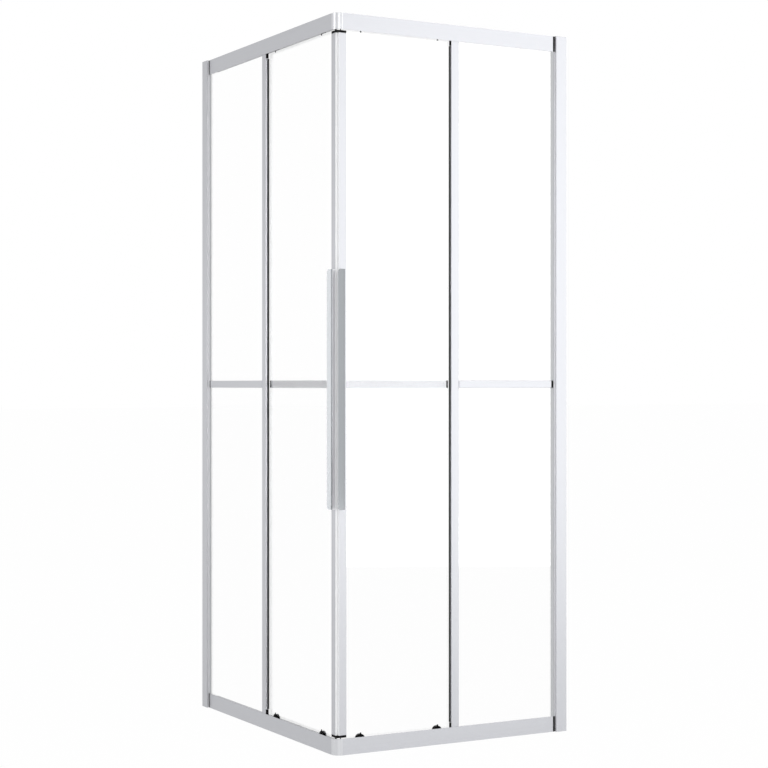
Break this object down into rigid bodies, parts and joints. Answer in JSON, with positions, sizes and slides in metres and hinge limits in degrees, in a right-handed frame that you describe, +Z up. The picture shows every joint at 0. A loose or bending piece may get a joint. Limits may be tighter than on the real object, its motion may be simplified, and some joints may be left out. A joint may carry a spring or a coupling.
{
  "type": "shower enclosure",
  "caption": "Corner-entry shower enclosure with aluminium rails and posts, clear glass, fixed panes and sliding doors on grooved wheels, hooked handles and black fittings.",
  "frame": {"origin": "centre of the bounding box on the floor plane", "axes": "+Z up; +X along the right side towards its wall; +Y along the left side towards its wall; the closing corner is at low X and low Y"},
  "size_m": [0.681, 0.791, 1.8],
  "materials": {
    "anodised_aluminium": "bright satin anodised extrusion",
    "clear_glass": "clear toughened glass",
    "black_plastic": "moulded, fine texture",
    "black_rubber": "extruded soft seal",
    "grey_seal": "extruded grey seal",
    "wheel_plastic": "moulded acetal",
    "screw_steel": "bright stainless"
  },
  "bodies": {
    "frame": {"corner_bottom": "anodised_aluminium", "corner_top": "anodised_aluminium", "post_screws": "screw_steel", "post_caps": "anodised_aluminium", "fixed_crossbar_caps": "black_plastic", "track_stops": "black_rubber", "glazing_gaskets": "grey_seal", "rail_end_caps": "black_plastic", "stile_feet": "black_plastic", "corner_screws": "screw_steel", "bottom_rail_left": "anodised_aluminium", "top_rail_left": "anodised_aluminium", "wall_post_left": "anodised_aluminium", "adjusting_profile_left": "anodised_aluminium", "fixed_glass_left": "clear_glass", "fixed_stile_left": "anodised_aluminium", "stile_seal_left": "black_rubber", "fixed_crossbar_left": "anodised_aluminium", "bottom_rail_right": "anodised_aluminium", "top_rail_right": "anodised_aluminium", "wall_post_right": "anodised_aluminium", "adjusting_profile_right": "anodised_aluminium", "fixed_glass_right": "clear_glass", "fixed_stile_right": "anodised_aluminium", "stile_seal_right": "black_rubber", "fixed_crossbar_right": "anodised_aluminium"},
    "door_left": {"door_glass_left": "clear_glass", "closing_stile_left": "anodised_aluminium", "magnet_seal_left": "grey_seal", "door_crossbar_left": "anodised_aluminium", "door_caps_left": "black_plastic", "rear_profile_left": "grey_seal", "handle_left": "anodised_aluminium", "handle_screws_left": "screw_steel", "bottom_housings_left": "black_plastic", "top_brackets_left": "black_plastic", "clamp_screws_left": "screw_steel"},
    "top_wheel_left_front": {"top_wheel_left_front": "wheel_plastic"},
    "bottom_wheel_left_front": {"bottom_wheel_left_front": "wheel_plastic"},
    "release_button_left_front": {"release_button_left_front": "black_plastic"},
    "top_wheel_left_rear": {"top_wheel_left_rear": "wheel_plastic"},
    "bottom_wheel_left_rear": {"bottom_wheel_left_rear": "wheel_plastic"},
    "release_button_left_rear": {"release_button_left_rear": "black_plastic"},
    "door_right": {"door_glass_right": "clear_glass", "closing_stile_right": "anodised_aluminium", "magnet_seal_right": "grey_seal", "door_crossbar_right": "anodised_aluminium", "door_caps_right": "black_plastic", "rear_profile_right": "grey_seal", "handle_right": "anodised_aluminium", "handle_screws_right": "screw_steel", "bottom_housings_right": "black_plastic", "top_brackets_right": "black_plastic", "clamp_screws_right": "screw_steel"},
    "top_wheel_right_front": {"top_wheel_right_front": "wheel_plastic"},
    "bottom_wheel_right_front": {"bottom_wheel_right_front": "wheel_plastic"},
    "release_button_right_front": {"release_button_right_front": "black_plastic"},
    "top_wheel_right_rear": {"top_wheel_right_rear": "wheel_plastic"},
    "bottom_wheel_right_rear": {"bottom_wheel_right_rear": "wheel_plastic"},
    "release_button_right_rear": {"release_button_right_rear": "black_plastic"}
  },
  "joints": [
    {"name": "door_left_slide", "type": "slide", "parent": "frame", "child": "door_left", "axis": [0, 1, 0], "range_m": [0, 0.33]},
    {"name": "top_wheel_left_front_spin", "type": "hinge", "parent": "door_left", "child": "top_wheel_left_front", "pos_m": [-0.31125, -0.2995, 1.784], "axis": [1, 0, 0], "range_deg": [-2460.5, 5]},
    {"name": "release_button_left_front_press", "type": "slide", "parent": "door_left", "child": "release_button_left_front", "axis": [0, 0, -1], "range_m": [0, 0.004], "stiffness_N_per_m": 400, "springref_m": -0.008},
    {"name": "bottom_wheel_left_front_spin", "type": "hinge", "parent": "release_button_left_front", "child": "bottom_wheel_left_front", "pos_m": [-0.31125, -0.2995, 0.016], "axis": [1, 0, 0], "range_deg": [-5, 2460.5]},
    {"name": "top_wheel_left_rear_spin", "type": "hinge", "parent": "door_left", "child": "top_wheel_left_rear", "pos_m": [-0.31125, -0.0395, 1.784], "axis": [1, 0, 0], "range_deg": [-2460.5, 5]},
    {"name": "release_button_left_rear_press", "type": "slide", "parent": "door_left", "child": "release_button_left_rear", "axis": [0, 0, -1], "range_m": [0, 0.004], "stiffness_N_per_m": 400, "springref_m": -0.008},
    {"name": "bottom_wheel_left_rear_spin", "type": "hinge", "parent": "release_button_left_rear", "child": "bottom_wheel_left_rear", "pos_m": [-0.31125, -0.0395, 0.016], "axis": [1, 0, 0], "range_deg": [-5, 2460.5]},
    {"name": "door_right_slide", "type": "slide", "parent": "frame", "child": "door_right", "axis": [1, 0, 0], "range_m": [0, 0.28]},
    {"name": "top_wheel_right_front_spin", "type": "hinge", "parent": "door_right", "child": "top_wheel_right_front", "pos_m": [-0.2595, -0.36625, 1.784], "axis": [0, 1, 0], "range_deg": [-5, 2088.5]},
    {"name": "release_button_right_front_press", "type": "slide", "parent": "door_right", "child": "release_button_right_front", "axis": [0, 0, -1], "range_m": [0, 0.004], "stiffness_N_per_m": 400, "springref_m": -0.008},
    {"name": "bottom_wheel_right_front_spin", "type": "hinge", "parent": "release_button_right_front", "child": "bottom_wheel_right_front", "pos_m": [-0.2595, -0.36625, 0.016], "axis": [0, 1, 0], "range_deg": [-2088.5, 5]},
    {"name": "top_wheel_right_rear_spin", "type": "hinge", "parent": "door_right", "child": "top_wheel_right_rear", "pos_m": [-0.0405, -0.36625, 1.784], "axis": [0, 1, 0], "range_deg": [-5, 2088.5]},
    {"name": "release_button_right_rear_press", "type": "slide", "parent": "door_right", "child": "release_button_right_rear", "axis": [0, 0, -1], "range_m": [0, 0.004], "stiffness_N_per_m": 400, "springref_m": -0.008},
    {"name": "bottom_wheel_right_rear_spin", "type": "hinge", "parent": "release_button_right_rear", "child": "bottom_wheel_right_rear", "pos_m": [-0.0405, -0.36625, 0.016], "axis": [0, 1, 0], "range_deg": [-2088.5, 5]}
  ],
  "couplings": [
    {"joint": "top_wheel_left_front_spin", "follows": "door_left_slide", "rad_per_m": -129.87},
    {"joint": "bottom_wheel_left_front_spin", "follows": "door_left_slide", "rad_per_m": 129.87},
    {"joint": "top_wheel_left_rear_spin", "follows": "door_left_slide", "rad_per_m": -129.87},
    {"joint": "bottom_wheel_left_rear_spin", "follows": "door_left_slide", "rad_per_m": 129.87},
    {"joint": "top_wheel_right_front_spin", "follows": "door_right_slide", "rad_per_m": 129.87},
    {"joint": "bottom_wheel_right_front_spin", "follows": "door_right_slide", "rad_per_m": -129.87},
    {"joint": "top_wheel_right_rear_spin", "follows": "door_right_slide", "rad_per_m": 129.87},
    {"joint": "bottom_wheel_right_rear_spin", "follows": "door_right_slide", "rad_per_m": -129.87}
  ]
}
